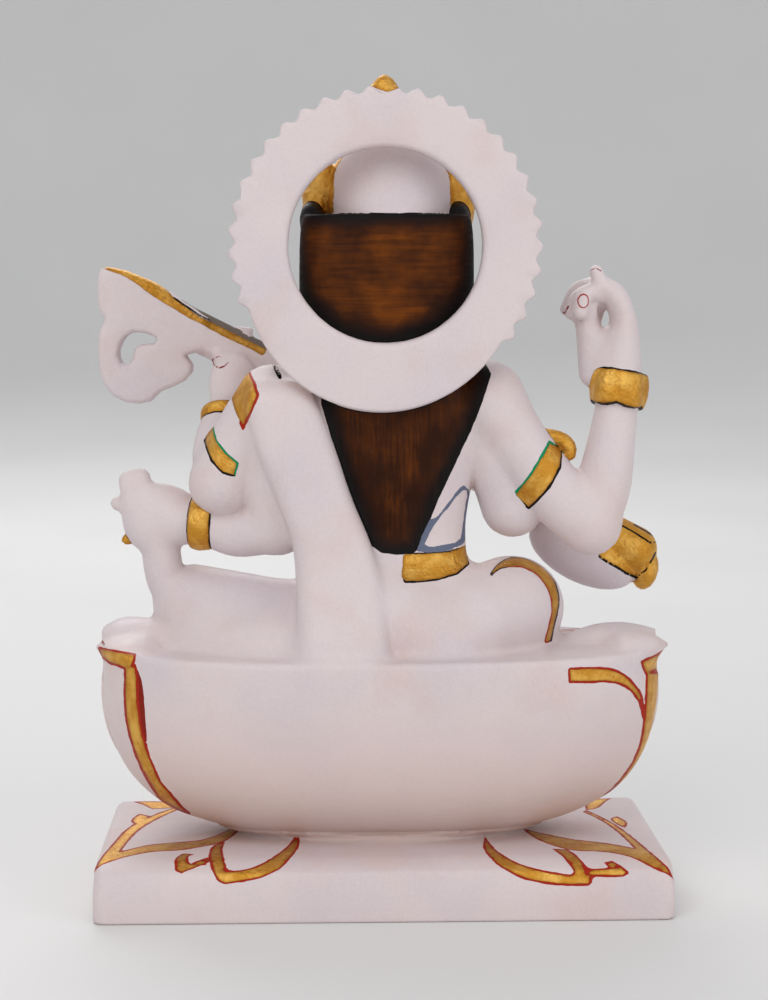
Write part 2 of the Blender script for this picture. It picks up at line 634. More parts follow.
def hair_down_the_back(clay):
    panel = column((58, -4, 14, 14, 8), (60, -4, 14, 15, 8), (88, -4, 15, 26, 8), (112, -3, 14, 20, 8),
                   power=3, rounding=3)
    clay.join(panel, 2)


def ring_radius(degrees):
    """The ring's outer radius at an angle: rounded teeth, and a smooth foot where it meets the back."""
    turn = (degrees - RING_TEETH_FROM) % 360
    span = RING_TEETH_TO - RING_TEETH_FROM
    tooth = (0.5 - 0.5 * np.cos(2 * np.pi * turn / span * RING_TEETH)) ** 1.05
    foot_share = np.clip((turn - span) / (360 - span), 0, 1)
    foot_rise = (RING_FOOT - RING_VALLEY) * np.sin(np.pi * foot_share)
    return RING_VALLEY + np.where(turn < span, RING_TOOTH * tooth, foot_rise)


def ring_shape():
    def distance(x, y, z):
        dx, dz = x - RING_CENTRE[0], z - RING_CENTRE[1]
        r = np.sqrt(dx * dx + dz * dz)
        outer = (r - ring_radius(np.degrees(np.arctan2(dz, dx)))) * 0.85
        depth = np.abs(y - RING_BACK + RING_THICKNESS / 2) - RING_THICKNESS / 2
        return smooth_max(rounded(outer, depth, 1.0), rounded(RING_INNER - r, depth, 2.6), 0.4)

    reach = RING_FOOT + 1
    low = (RING_CENTRE[0] - reach, RING_BACK - RING_THICKNESS, RING_CENTRE[1] - reach)
    high = (RING_CENTRE[0] + reach, RING_BACK, RING_CENTRE[1] + reach)
    return Shape(low, high, distance)


# The middle of the bud's gold leaf, across.
BUD_X = -1.6


def finial():
    """The small bud on top of the ring."""
    return limb((-0.6, 26, 201, 5.8, 0.7), (-0.6, 26, 205.6, 5.2, 0.75), (-0.6, 26, 208.8, 3.0, 1.0),
                (-0.6, 26, 211.0, 0.9))


RIGHT_UPPER_ARM = limb((-40, 8, 94, 14), (-50, 9, 79, 11.6), (-63, 10, 61, 11.6), (-79, 10, 46, 11.5))
LEFT_UPPER_ARM = limb((41, 6, 93, 13.5), (51, 6, 78, 12.8), (60, 6, 62, 12.4))


def upper_arms(clay):
    clay.join(RIGHT_UPPER_ARM, 5)
    clay.join(limb((-79.5, 9.8, 49, 10), (-83.5, 9, 60, 10.4), (-86.5, 8, 76, 9), (-89, 6, 92, 7.8)), 3)
    clay.join(limb((-36, 4, 88, 12.5), (-44, 3, 70, 12), (-50, 3, 53, 12)), 2)
    clay.join(limb((-50, 0, 52, 10), (-51, -14, 54, 8.6), (-50, -27, 57, 7)), 3)
    clay.join(LEFT_UPPER_ARM, 5)
    clay.join(limb((60, 4, 64, 10), (62, -4, 74, 9.2), (60.5, -14, 87, 6.6)), 2.5)
    clay.join(limb((38, 8, 90, 12), (40, 9, 66, 12), (38, 8, 46, 11)), 3)
    clay.join(limb((41, 7, 45.5, 9.6), (54, 4, 43, 9.2), (66, 0, 46, 8)), 3)


RIGHT_WRIST = lobed_bangle()

PLAIN_WRISTS = [
    Wrist((60.5, -13, 86), (0, -0.6, 0.8), 7.6, 5.5, 0.6, 5.8),
    Wrist((67.6, 0, 46), (1, -0.15, 0.05), 9.3, 8.6, 1.1, 8.8),
    Wrist((-50, -25, 56.5), (0.05, -1, 0.2), 8.0, 5.5, 0.6, 5.8)]

# The thin dark gap between the left shoulder and the ring.
SLOT = ball((38.7, 14, 103.8), (0.65, 17, 3.0), (0, 28, 0))


def bangles(clay):
    clay.join(RIGHT_WRIST, 0.5)
    for wrist in PLAIN_WRISTS:
        clay.join(bangle(wrist), 0.5)
    clay.join(arm_leaf(), 0.5)


def arm_leaf():
    """The curled gold leaf above the rear right arm."""
    return limb((-56.5, 9, 78.2, 2.4), (-62.0, 8, 79.6, 2.8), (-67.6, 8, 78.2, 3.0),
                (-70.4, 8.6, 75.4, 3.0), (-71.0, 9.4, 72.6, 2.2))


def raised_hand():
    """The rear right hand, with the thumb against the bent fingers."""
    clay = Clay((-104, -16, 84), (-62, 24, 148), SEAT_Z, 3)
    clay.join(limb((-89, 6, 98, 9.2), (-90, 5.5, 112, 7.6, 1.3), (-91, 5, 123, 5.0, 1.9),
                   (-88, 4, 131.5, 4.8, 1.9), (-82.5, 3, 135.6, 4.4, 1.9), spans=6))
    clay.join(limb((-80, 4, 103, 5.4), (-79, 3.5, 115, 5.2), (-77.4, 2, 122.5, 4.4),
                   (-72.6, 1, 126.4, 3.0)), 3)
    clay.join(ball((-84.6, 5, 108), (6, 6.4, 11)), 3)
    clay.join(limb((-83, 7, 133, 3.4), (-80.4, 8, 141.2, 2.5)), 1.0)
    clay.join(limb((-82, 7, 134, 3.4), (-76.5, 7.5, 132.4, 3.3), (-74.6, 7.0, 126, 3.2)), 0.8)
    clay.join(limb((-81, 2, 134, 3.2), (-74.6, 1.6, 131.4, 3.0), (-71.6, 1.2, 125.6, 2.5)), 0.8)
    clay.join(limb((-82, -3, 136, 3.6), (-75, -4, 134, 3.2), (-71, -4, 127, 2.8)), 0.8)
    clay.join(ball((-79, 2, 127), (5.5, 6, 7)), 1.5)
    clay.carve(ball((-83.8, 8.4, 124.4), (2.5, 6.4, 4.7), (0, 24, 0)), 1.2)
    return clay


def front_right_hand():
    """It plucks the strings from in front of the neck."""
    clay = Clay((-66, -52, 42), (-30, -22, 78), SEAT_Z, 3)
    clay.join(ball((-48, -38, 59.5), (8, 8, 6.5), (0, -20, 0)))
    for i in range(4):
        x, low = -53 + 4.2 * i, 62 + 1.6 * i
        clay.join(limb((x, -39, low, 2.7), (x + 2, -45.5, low + 3, 2.5),
                       (x + 4, -46.6, low + 8.5, 2.0)), 0.8)
    clay.join(limb((-42, -37, 58, 3.4), (-38, -43.5, 61, 2.8), (-37.5, -45.5, 66, 2.2)), 1.2)
    return clay


def neck_height(x):
    """Height of the middle of the veena's neck at a place across."""
    return 117 + VEENA_SLOPE * (x - 70)


def front_left_hand():
    """It holds the neck from below, with the fingers in front."""
    clay = Clay((38, -48, 84), (72, -8, 122), SEAT_Z, 3)
    clay.join(ball((55.5, -21, 98), (9, 7, 10)))
    clay.join(limb((57.5, -18, 94, 7.6), (57, -24, 101, 7.8, 0.7), (56.5, -28, 105, 7.4, 0.5)), 4)
    for i in range(4):
        x = 48.5 + 4.4 * i
        low = neck_height(x) - VEENA_NECK
        clay.join(limb((x, -27, low + 4, 2.9), (x, -35.5, low - 1.8, 2.7), (x, -41.2, low + 8, 2.2)), 0.8)
    return clay


# The book in the rear left hand, and the gold bead beside the hand.
BOOK = box((83.5, -18, 45), (12, 3, 8.5), 0.6, (0, 0, -24))
BEAD = ball((96.6, -5, 39.4), (2.2, 2.2, 2.0))


def rear_left_hand():
    """It holds the book, on a pillar of stone that stands on the seat."""
    clay = Clay((56, -34, 6), (112, 16, 78), SEAT_Z, 3)
    clay.join(ball((84, -5, 48.5), (14.5, 8.5, 12.5)))
    clay.join(limb((66, 0, 46, 8), (76, -3, 47, 9)), 4)
    clay.join(box((93, -6, 58.6), (6, 5.2, 7.6), 3.8, (0, 8, 0)), 3.5)
    clay.join(ball((86.6, -5, 43.6), (9.8, 7.5, 9.4)), 3)
    clay.join(limb((92, -7, 52, 4.6), (100.6, -8, 53, 2.5)), 2.5)
    for i in range(4):
        z = 37 + 4.4 * i
        clay.join(limb((90, -8, z + 3, 2.7), (94, -16, z + 2, 2.5), (89, -21.4, z + 1, 2.1)), 0.9)
    clay.join(BOOK, 0.4)
    clay.join(BEAD, 0.4)
    clay.join(limb((79, -6, 12, 7.2), (80.5, -6, 18.5, 6.6), (82.6, -6, 26, 7.4), (84, -6, 38, 7.2)), 2.5)
    return clay


# The veena's carved head in X and Z above the seat, with its pierced comma.
HEAD_OUTLINE = [
    (66.0, 123.0), (78.0, 131.2), (86.7, 136.9), (97.8, 141.4), (104.6, 142.9), (107.4, 142.2),
    (108.6, 139.6), (108.8, 130.0), (108.2, 126.0), (106.4, 124.2), (106.2, 121.8), (108.3, 118.6),
    (108.9, 112.0), (108.6, 104.0), (107.0, 97.6), (103.4, 93.0), (98.6, 90.4), (93.0, 89.8),
    (88.4, 90.8), (84.6, 94.6), (80.4, 96.2), (75.4, 98.6), (72.4, 102.0), (72.2, 105.0), (75.0, 108.4),
    (72.0, 109.6), (68.0, 110.6), (64.0, 109.0)]
HEAD_COMMA = through([
    (87.4, 116.2), (92.0, 117.6), (96.4, 117.2), (99.6, 113.8), (101.0, 109.0), (99.8, 105.6),
    (97.2, 105.4), (95.4, 108.0), (94.4, 111.8), (91.0, 113.2), (87.4, 113.2), (86.2, 114.8)],
    2, closed=True)


# The veena's drum end, and the board under its frets.
DRUM_BODY = limb((-88, VEENA_Y, neck_height(-88), 9.6), (-101.6, VEENA_Y, neck_height(-101.6) + 0.4, 9.2),
                 spans=2)
DRUM_KNOB = ball((-106.2, VEENA_Y, 23.2), (5.2, 6, 8.0), (0, -12, 0))
BOARD = box((24, VEENA_Y, neck_height(24) + VEENA_NECK * 1.1), (62, 3.4, 1.2), 0.6, (0, -VEENA_LEAN, 0))

# The frets, pegs and painted bands of the neck, by their places across, and the frets' height over it.
FIRST_FRET, FRET_STEP, FRETS, FRET_LIFT = 37.2, 7.2, 9, 9.6
PEG_PLACES = (70, 80, 90)
NECK_BANDS = (8, -64)


def peg_head(x):
    return ball((x, VEENA_Y - 14, neck_height(x) + 2), (2.6, 1.8, 2.6))


def veena():
    clay = Clay((-114, -50, -2), (112, -18, 146), SEAT_Z, 3)
    clay.join(limb(*[(x, VEENA_Y, neck_height(x), VEENA_NECK) for x in (84, -84)], spans=2))
    clay.join(DRUM_BODY, 0.6)
    clay.join(DRUM_KNOB, 0.6)
    clay.join(ball((-81, VEENA_Y, 30.2), (23, 12.2, 11.8), (0, -VEENA_LEAN, 0)), 0.8)
    clay.join(slab(HEAD_OUTLINE, HEAD_COMMA, VEENA_Y + 7, 14, 2.4), 0.8)
    clay.join(BOARD, 0.4)
    clay.join(box((52.2, VEENA_Y, 117.6), (3.2, 3.2, 2.0), 0.5, (0, -8, 0)), 0.3)
    for i in range(FRETS):
        x = FIRST_FRET - FRET_STEP * i
        z = neck_height(x) + FRET_LIFT
        clay.join(limb(*[(x, VEENA_Y + end, z, 0.8) for end in (-4.2, 4.2)], spans=2), 0.3)
    for x in PEG_PLACES:
        z = neck_height(x) + 2
        clay.join(limb((x, VEENA_Y - 4, z, 1.6), (x, VEENA_Y - 13, z, 1.5)), 0.5)
        clay.join(peg_head(x), 0.5)
    return clay


def build_clay():
    whole = Clay(LOW, HIGH)
    whole.join_clay(seat())
    figure = Clay((-114, -54, -6), (114, 50, 213), SEAT_Z, 4)
    trunk(figure)
    lap(figure)
    hair_down_the_back(figure)
    cloth_down_the_back(figure)
    upper_arms(figure)
    for hand in (raised_hand(), front_right_hand(), front_left_hand(), rear_left_hand()):
        figure.join_clay(hand, 1.6)
    figure.join(ring_shape(), 1.2)
    figure.join(finial(), 0.8)
    figure.join_clay(head(), 1.0)
    figure.join_clay(veena(), 0.6)
    bangles(figure)
    figure.carve(SLOT, 0.4)
    whole.join_clay(figure, 5)
    return whole.field


def sample(field, points):
    """The field's value at points, between its cells."""
    place = (points - LOW) / CELL
    cell = np.clip(np.floor(place).astype(int), 0, np.array(field.shape) - 2)
    share = place - cell
    value = 0
    for corner in np.ndindex(2, 2, 2):
        weight = np.prod(np.where(corner, share, 1 - share), axis=1)
        value = value + weight * field[tuple((cell + corner).T)]
    return value


def slope(field, points):
    """The direction out of the surface, and how fast the field grows along it."""
    step = CELL * 0.7
    rise = np.stack([sample(field, points + d) - sample(field, points - d) for d in np.eye(3) * step], 1)
    length = np.linalg.norm(rise, axis=1)
    return rise / (length[:, None] + 1e-9), length / (2 * step)


def settle(field, points):
    """Moves points onto the surface, in two rounds."""
    for _ in range(2):
        normal, rate = slope(field, points)
        move = sample(field, points) / np.maximum(rate, 0.4)
        points = points - normal * np.clip(move, -CELL, CELL)[:, None]
    return points


def first_mesh(field):
    """The surface as triangles, thinned out where it is even."""
    grid = openvdb.FloatGrid(3.0)
    grid.copyFromArray(np.clip(field, -3, 3).astype(np.float64))
    points, triangles, quads = grid.convertToPolygons(0.0, 0.0)
    faces = np.vstack([triangles, quads[:, [0, 1, 2]], quads[:, [0, 2, 3]]]).astype(int)
    mesh = mesh_of("first", points * CELL + LOW, faces)
    piece = bpy.data.objects.new("first", mesh)
    bpy.context.scene.collection.objects.link(piece)
    thin = piece.modifiers.new("thin", "DECIMATE")
    thin.ratio = min(1.0, BASE_TRIANGLES / len(faces))
    evaluated = piece.evaluated_get(bpy.context.evaluated_depsgraph_get())
    thinned = evaluated.to_mesh()
    thinned.calc_loop_triangles()
    points = np.zeros(len(thinned.vertices) * 3, np.float32)
    thinned.vertices.foreach_get("co", points)
    faces = np.zeros(len(thinned.loop_triangles) * 3, np.int32)
    thinned.loop_triangles.foreach_get("vertices", faces)
    points = points.reshape(-1, 3).astype(float)
    faces = faces.reshape(-1, 3)
    evaluated.to_mesh_clear()
    bpy.data.objects.remove(piece)
    return settle(field, points), faces


def mesh_of(name, points, faces):
    mesh = bpy.data.meshes.new(name)
    mesh.vertices.add(len(points))
    mesh.vertices.foreach_set("co", np.ascontiguousarray(points, np.float32).ravel())
    mesh.loops.add(faces.size)
    mesh.loops.foreach_set("vertex_index", np.ascontiguousarray(faces, np.int32).ravel())
    mesh.polygons.add(len(faces))
    mesh.polygons.foreach_set("loop_start", np.arange(0, faces.size, 3, dtype=np.int32))
    mesh.update(calc_edges=True)
    return mesh


def split(field, points, faces, wanted):
    """Halves the edges that wanted(lengths, ends) asks for, and settles the new points on the surface."""
    sides = np.sort(np.stack([faces, np.roll(faces, -1, 1)], 2).reshape(-1, 2), 1)
    edges, which = np.unique(sides, axis=0, return_inverse=True)
    which = which.reshape(-1, 3)
    lengths = np.linalg.norm(points[edges[:, 0]] - points[edges[:, 1]], axis=1)
    asked = wanted(lengths, edges)
    longest = np.take_along_axis(which, np.argmax(lengths[which], 1)[:, None], 1)[:, 0]
    touched = asked[which].any(1)
    asked[longest[touched]] = True
    middle = np.full(len(edges), -1)
    middle[asked] = len(points) + np.arange(asked.sum())
    added = settle(field, (points[edges[asked, 0]] + points[edges[asked, 1]]) / 2)
    points = np.vstack([points, added])
    m = middle[which]
    count = (m >= 0).sum(1)
    made = [faces[count == 0]]
    for turn in range(3):
        a, b, c = np.roll(faces, -turn, 1).T
        ab, bc, ca = np.roll(m, -turn, 1).T
        one = (count == 1) & (ab >= 0)
        made += [np.stack([a, ab, c], 1)[one], np.stack([ab, b, c], 1)[one]]
        two = (count == 2) & (ca < 0)
        made += [np.stack([ab, b, bc], 1)[two], np.stack([a, ab, bc], 1)[two], np.stack([a, bc, c], 1)[two]]
        if turn == 0:
            three = count == 3
            made += [np.stack(t, 1)[three] for t in ((a, ab, ca), (ab, b, bc), (ca, bc, c), (ab, bc, ca))]
    return points, np.vstack(made)


# Paint. A colour's place is the distance in millimetres to its edge, below zero inside.

# The colours of the lines, as linear light.
RED, DEEP_RED, BLACK = (0.36, 0.020, 0.008), (0.22, 0.014, 0.007), (0.008, 0.006, 0.006)
GREEN, SLATE, WOOD_GREY = (0.0, 0.24, 0.10), (0.13, 0.15, 0.22), (0.17, 0.14, 0.12)

# Outlines and lines on the figure, across and up. Those that Paint takes as seen lie on the plane through
# the middle, where the camera sees them.
HAIR_PANEL = [
    (22.6, 186.5), (17.6, 169.4), (12.4, 154.4), (6.4, 138.2), (4.0, 133.8), (0.6, 131.2), (-5.4, 130.4),
    (-11.2, 130.8), (-13.8, 132.6), (-16.4, 139.3), (-20.8, 150.4), (-28.0, 165.2), (-33.2, 176.3),
    (-40.4, 197.5), (-36.0, 206.0), (22.0, 206.0)]
HEAD_HAIR = [
    (33.0, 259.0), (30.5, 259.0), (26.5, 258.2), (20.6, 257.2), (10.8, 256.6), (1.0, 256.8),
    (-8.8, 256.8), (-16.6, 257.0), (-22.7, 257.8), (-30.0, 259.0), (-36.0, 259.0), (-36.5, 244.0),
    (-32.6, 226.0), (-19.2, 212.8), (-1.0, 207.9), (17.2, 212.8), (30.6, 226.0), (34.5, 244.0)]
DIAMOND = [(49.8, 198.6), (47.3, 194.4), (45.7, 190.0), (48.2, 184.0), (51.5, 177.4), (54.5, 184.0),
           (56.4, 189.1), (53.6, 194.5)]
DIAMOND_RED = [(49.8, 199.4), (47.3, 194.4), (45.7, 190.0), (48.2, 184.0), (51.5, 176.6)]
LEFT_ARM_GREEN = [(63.6, 179.2), (61.6, 172.8), (58.2, 168.5), (53.4, 164.5), (54.6, 160.3)]
LEFT_ARM_BLACK = [(66.6, 176.5), (66.3, 171.9), (63.4, 165.4), (59.0, 160.8), (54.6, 159.6)]
RIGHT_ARM_GREEN = [(-62.4, 172.0), (-57.8, 164.8), (-53.5, 157.9), (-49.4, 152.0)]
RIGHT_ARM_BLACK = [(-67.6, 169.0), (-66.2, 162.7), (-62.2, 155.9), (-55.0, 146.8)]
WAIST_MARK = [
    (-31.7, 154.1), (-33.4, 153.0), (-33.9, 150.7), (-33.6, 145.6), (-32.4, 140.6), (-32.1, 133.1),
    (-31.5, 131.8), (-26.2, 129.3), (-19.9, 128.6), (-13.6, 129.0), (-14.2, 130.6), (-16.7, 136.9),
    (-18.9, 141.3), (-21.1, 141.6), (-24.9, 146.3), (-28.6, 151.3), (-30.2, 153.2)]
WAIST_MARK_INSIDE = [
    (-31.4, 152.5), (-32.7, 152.2), (-33.0, 150.9), (-32.4, 146.3), (-31.5, 140.6), (-31.1, 134.3),
    (-28.7, 132.4), (-23.7, 131.2), (-17.9, 130.7), (-17.1, 131.3), (-16.9, 132.5), (-19.3, 137.5),
    (-21.8, 141.3), (-26.1, 146.3), (-29.2, 150.7)]
THIGH_OUTER = [
    (-41.7, 120.0), (-44.4, 123.6), (-48.0, 126.0), (-52.8, 127.3), (-55.8, 127.9), (-59.4, 127.2),
    (-61.9, 125.4), (-64.3, 122.9), (-65.7, 120.1), (-67.7, 113.8), (-68.3, 109.6), (-67.7, 105.3),
    (-66.6, 100.5), (-65.4, 94.4)]
THIGH_INNER = [
    (-63.9, 93.7), (-63.0, 94.4), (-64.2, 99.2), (-65.3, 104.1), (-65.5, 109.0), (-64.4, 113.2),
    (-61.9, 117.5), (-58.9, 120.5), (-55.3, 122.4), (-51.6, 123.0), (-47.4, 122.7), (-44.4, 121.5),
    (-42.7, 119.7)]
THIGH_CREASE = [(-53.2, 127.4), (-55.5, 126.5), (-57.0, 125.4), (-60.1, 123.5), (-62.5, 122.0),
                (-64.5, 120.3)]
BELT_TOP = [(-8.7, 128.0), (-11.2, 128.2), (-16.9, 128.4), (-26.2, 129.0), (-29.5, 130.1), (-32.9, 131.6)]
BELT_BOTTOM = [(-33.6, 124.2), (-29.3, 120.4), (-22.4, 118.3), (-14.9, 117.3), (-9.3, 117.3), (-8.0, 119.4)]
DRUM_EDGE = [(-83.5, 126.8), (-86.4, 124.8), (-90.4, 122.6), (-93.9, 120.3), (-97.9, 118.6)]
DRUM = DRUM_EDGE + [
    (-96.6, 116.0), (-97.0, 108.0), (-116.0, 108.0), (-116.0, 150.0), (-80.0, 150.0)]
DRUM_LINES = [
    (0.5, DRUM_EDGE),
    (0.34, [(-97.9, 118.6), (-101.3, 121.3), (-103.7, 125.2), (-105.1, 128.2)]),
    (0.36, [(-91.7, 138.9), (-96.2, 136.4), (-101.2, 133.2), (-103.1, 131.9), (-104.8, 132.2)]),
    (0.30, [(-96.6, 139.1), (-101.1, 136.6), (-105.1, 134.2)])]
VEENA_GOLD = [
    (106.0, 241.0), (98.0, 241.0), (90.2, 236.5), (81.7, 231.0), (78.4, 226.0), (73.5, 222.0),
    (67.9, 218.1), (60.2, 214.6), (52.6, 210.7), (42.9, 206.1), (44.1, 203.4), (48.7, 205.9),
    (56.4, 209.4), (64.1, 213.5), (67.9, 215.8), (71.8, 217.5), (78.0, 221.4), (81.7, 223.5),
    (85.4, 225.9), (89.1, 228.6), (91.4, 230.4), (95.1, 232.8), (97.7, 234.0), (100.6, 235.1),
    (103.6, 236.0), (107.0, 238.0)]
VEENA_EDGE = [(77.6, 225.2), (73.5, 222.4), (67.9, 218.6), (60.2, 214.9), (49.0, 209.8)]
FINGER_NAILS = [[(63.6, 201.8), (62.0, 203.0), (60.3, 203.2)],
                [(63.4, 202.0), (63.0, 200.5), (62.0, 199.4), (60.7, 199.0), (59.0, 199.6), (57.2, 201.1)]]

# The marks on the raised hand: an oval with its half sizes, a dash and a nail.
HAND_RING_AT, HAND_RING = (-75.3, 224.1), (2.0, 2.5)
HAND_DASH = [(-70.6, 222.2), (-69.4, 219.4)]
HAND_NAIL = [(-78.0, 235.6), (-80.0, 236.2), (-82.0, 235.2)]

# A brow, from the middle of the face outward and up from the seat.
BROW = [(2.6, 143.4), (6.0, 145.4), (9.6, 145.3), (13.6, 142.8)]

# Leaves on the plinth, across and unrolled towards the back.
LEAF_LEFT = [
    (106.0, 49.5), (101.8, 21.9), (98.6, -3.7), (93.5, -18.6), (85.4, -34.1), (79.9, -40.2),
    (78.6, -38.0), (88.2, -18.5), (94.2, 1.4), (97.4, 29.7), (87.5, 19.3), (76.6, 16.5), (67.2, 13.6),
    (60.5, 2.5), (57.1, -3.0), (53.6, -1.6), (59.2, 17.0), (66.8, 23.1), (75.1, 29.0), (86.7, 30.1),
    (96.1, 38.9)]
BUD_LEFT = [
    (59.2, 17.0), (60.2, 29.5), (57.1, 52.4), (48.7, 50.8), (42.0, 43.1), (36.0, 26.2), (32.6, 11.0),
    (30.6, 17.9), (33.0, 36.4), (37.3, 50.6), (43.4, 56.0), (51.7, 58.0), (59.6, 59.2), (62.2, 54.8),
    (64.8, 38.4), (63.9, 21.6)]
HOOK_LEFT = [(64.1, 44.4), (70.0, 50.4), (75.6, 54.8), (77.2, 41.0), (74.1, 33.0), (69.9, 34.6),
             (72.3, 37.6), (71.4, 46.6), (65.2, 39.6)]
CHIP_LEFT = [(98.2, -17.1), (94.9, -29.4), (90.1, -24.4), (93.7, -9.6)]
FAR_LEFT = [(80.6, -38.5), (90.7, -36.8), (94.8, -45.0), (99.0, -49.5), (90.0, -50.5), (82.0, -47.0)]
LEAF_RIGHT = [
    (-54.6, 1.6), (-65.2, 10.5), (-73.7, 18.4), (-85.7, 23.5), (-93.6, 31.3), (-91.4, 9.2),
    (-87.4, -11.0), (-81.4, -26.8), (-83.4, -29.0), (-91.3, -8.5), (-96.8, 22.1), (-99.6, 42.8),
    (-105.6, 57.4), (-98.4, 53.9), (-92.0, 43.9), (-82.3, 35.4), (-70.4, 34.3), (-63.5, 26.3),
    (-57.6, 14.1)]
BUD_RIGHT = [
    (-39.2, 12.4), (-41.6, 32.8), (-46.6, 46.4), (-56.1, 53.6), (-69.0, 56.3), (-67.3, 47.7), (-63.0, 31.0),
    (-68.6, 32.2), (-71.6, 42.9), (-73.8, 52.9), (-75.6, 60.9), (-66.8, 61.0), (-57.6, 60.1), (-47.2, 56.8),
    (-39.7, 47.8), (-36.9, 29.6)]
HOOK_RIGHT = [(-74.4, 56.6), (-86.7, 57.5), (-89.0, 55.5), (-85.6, 49.6), (-81.7, 43.9), (-79.9, 48.2),
              (-82.3, 52.4), (-73.4, 53.0)]
CHIP_RIGHT = [(-90.4, -15.3), (-93.9, -18.7), (-97.3, -8.6), (-94.5, 0.2), (-91.5, -7.5)]
FAR_RIGHT = [(-83.0, -29.4), (-88.5, -31.9), (-92.9, -44.3), (-96.0, -49.0), (-88.0, -48.0), (-84.0, -40.0)]
LEAVES_LEFT = [LEAF_LEFT, BUD_LEFT, HOOK_LEFT, CHIP_LEFT, FAR_LEFT]
LEAVES_RIGHT = [LEAF_RIGHT, BUD_RIGHT, HOOK_RIGHT, CHIP_RIGHT, FAR_RIGHT]


def path_distance(u, v, points):
    """The distance in a plane to an open line."""
    best = np.inf
    for (au, av), (bu, bv) in zip(points[:-1], points[1:]):
        eu, ev = bu - au, bv - av
        t = np.clip(((u - au) * eu + (v - av) * ev) / (eu * eu + ev * ev), 0, 1)
        best = np.minimum(best, np.hypot(u - au - t * eu, v - av - t * ev))
    return best


class Paint:
    """How far each kind of paint is from some points, and the colour and half width of its lines."""

    def __init__(self, points):
        self.x, self.y, self.z = points.T
        self.h = self.z - SEAT_Z
        self.on_plinth = self.z < PLINTH[2] + 3
        self.seen = seen(self.x, self.y, self.z)
        self.place = {name: np.full(len(points), FAR) for name in PAINTS}
        self.trim = {name: np.zeros((len(points), 4)) for name in TRIMMED}

    def near(self, shape, reach):
        """Inside within a reach of a shape drawn above the seat."""
        return shape.distance(self.x, self.y, self.h) - reach

    def gate(self, shape, reach):
        """The same, but far below zero all over the shape, so that no edge shows there."""
        return self.near(shape, reach) * 12

    def band(self, at, direction, length, shape, reach=1.6):
        """A band round a shape, at a point, along a direction."""
        direction = np.array(direction) / np.linalg.norm(direction)
        t = along(direction, self.x - at[0], self.y - at[1], self.h - at[2])
        return np.maximum(np.abs(t) - length / 2, self.gate(shape, reach))

    def outline(self, points):
        return outline_distance(self.x, self.z, np.array(points))

    def seen_outline(self, points):
        return outline_distance(*self.seen, np.array(points))

    def leaf(self, unrolled, points):
        """A leaf on the plinth, which isn't looked for anywhere else."""
        found = np.full(len(self.x), FAR)
        low = self.on_plinth
        found[low] = outline_distance(self.x[low], unrolled[low], soften(points)) + 0.35
        return found

    def seen_path(self, points):
        return path_distance(*self.seen, points)

    def add(self, name, *limits, colour=RED, width=0.32):
        """Paints where all the limits are below zero: 8 - p.y, say, keeps it behind the depth 8."""
        inside = limits[0]
        for limit in limits[1:]:
            inside = np.maximum(inside, limit)
        closer = inside < self.place[name]
        self.place[name] = np.where(closer, inside, self.place[name])
        if name in self.trim:
            colours = np.broadcast_to(np.array(colour, float), (len(self.x), 3))
            widths = np.broadcast_to(width, len(self.x))
            self.trim[name][closer] = np.column_stack([colours, widths])[closer]

    def either(self, first, second, one, other, at=None):
        """One colour by the first line and the other by the second."""
        u, v = at or (self.x, self.z)
        nearer = path_distance(u, v, first) < path_distance(u, v, second)
        return np.where(nearer[:, None], one, other)


def paint(points):
    p = Paint(points)
    paint_hair(p)
    paint_crown_and_ring(p)
    paint_arms(p)
    paint_waist_and_legs(p)
    paint_face(p)
    paint_necklaces(p)
    paint_veena_and_book(p)
    paint_seat(p)
    return p


def paint_hair(p):
    clear_of_ring = -p.gate(ring_shape(), 0.5)
    clear_of_cloth = 0.4 - p.gate(column(*CLOTH[2:7], power=4, rounding=4), 0)
    p.add("hair", p.outline(HAIR_PANEL), 5 - p.y, clear_of_ring, clear_of_cloth)
    on_roll = p.gate(hair_roll(), 0.6)
    p.add("hair", p.outline(HEAD_HAIR), on_roll, clear_of_ring, 2 - p.y)
    p.add("hair", np.maximum(p.z - 240, -0.8), on_roll, clear_of_ring, 2 - p.y)
    p.add("hair", on_roll, clear_of_ring, p.y - 2, 100 - p.h)
    for side in (-1, 1):
        p.add("hair", p.gate(hair_lock(side), 0.6))


def paint_crown_and_ring(p):
    clear_of_hair = -p.gate(hair_roll(), 0.6)
    across = np.abs(p.x - CROWN_X)
    rear = np.where(across > 21.5, 8.0, 4.2)
    p.add("gold", 150.4 - p.h, p.y - rear, across - 36, p.h - 204, clear_of_hair, width=0.0)
    for side in (-1, 1):
        p.add("dark", p.gate(hair_corner(side), 0.5))
    across = np.abs(p.x - BUD_X)
    p.add("gold", 205.2 + 0.36 * across - p.h, across - 7, width=0.0)
    r = np.hypot(p.x - RING_CENTRE[0], p.h - RING_CENTRE[1])
    p.add("gold", np.abs(r - RING_INNER - 5) - 1.0, p.y - 24, 18 - p.y, 112 - p.h)


